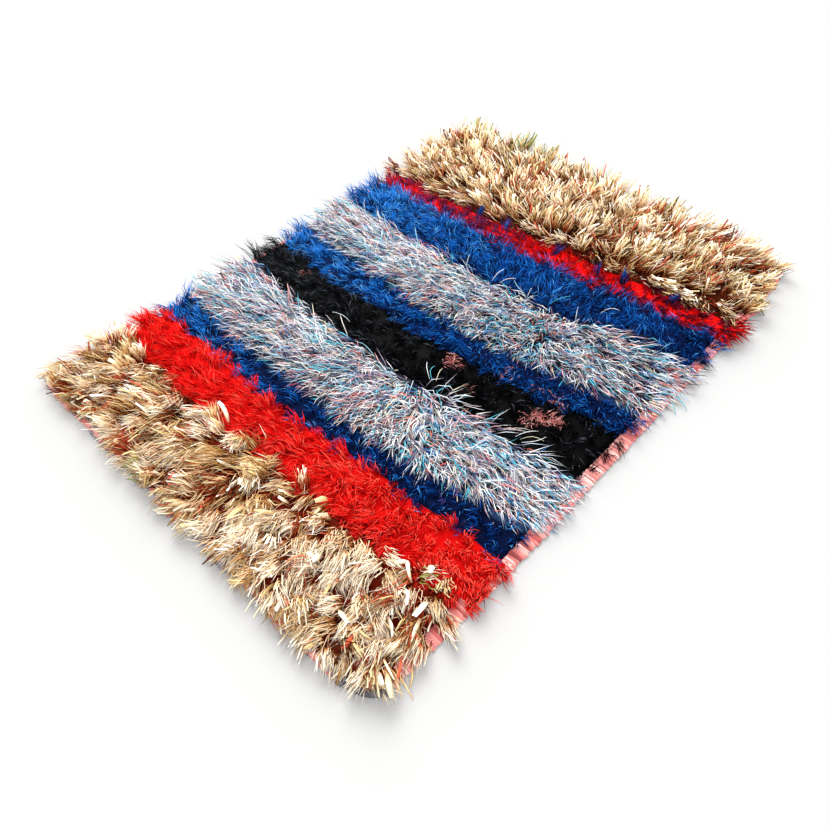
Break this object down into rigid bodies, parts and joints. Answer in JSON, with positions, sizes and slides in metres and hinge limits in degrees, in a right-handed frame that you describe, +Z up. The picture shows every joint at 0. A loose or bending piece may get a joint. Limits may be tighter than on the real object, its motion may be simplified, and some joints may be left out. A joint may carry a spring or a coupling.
{
  "type": "shag rug",
  "caption": "Flat knotted shag rug: a thin woven ground cloth under a deep uneven pile of rag ends and wool in cross stripes of straw, red, blue, black and mixed pastel cords",
  "frame": {"origin": "under the middle of the rug, on the surface it lies on", "axes": "+Y along the rug's length towards the end with the wide straw stripe of tallest pile, +X across it towards the side where the selvedge shows, +Z up out of the pile"},
  "size_m": [1.1844, 1.637, 0.0692],
  "materials": {
    "ground_cloth": "matte weft-faced weave",
    "straw_rag": "matte cut rag and yarn ends",
    "red_wool": "matte fluffy wool pile",
    "blue_wool": "matte fluffy wool pile",
    "mixed_cord": "matte loose cord pile",
    "black_wool": "matte wool pile"
  },
  "bodies": {
    "root": {"rug": "ground_cloth"}
  },
  "joints": []
}
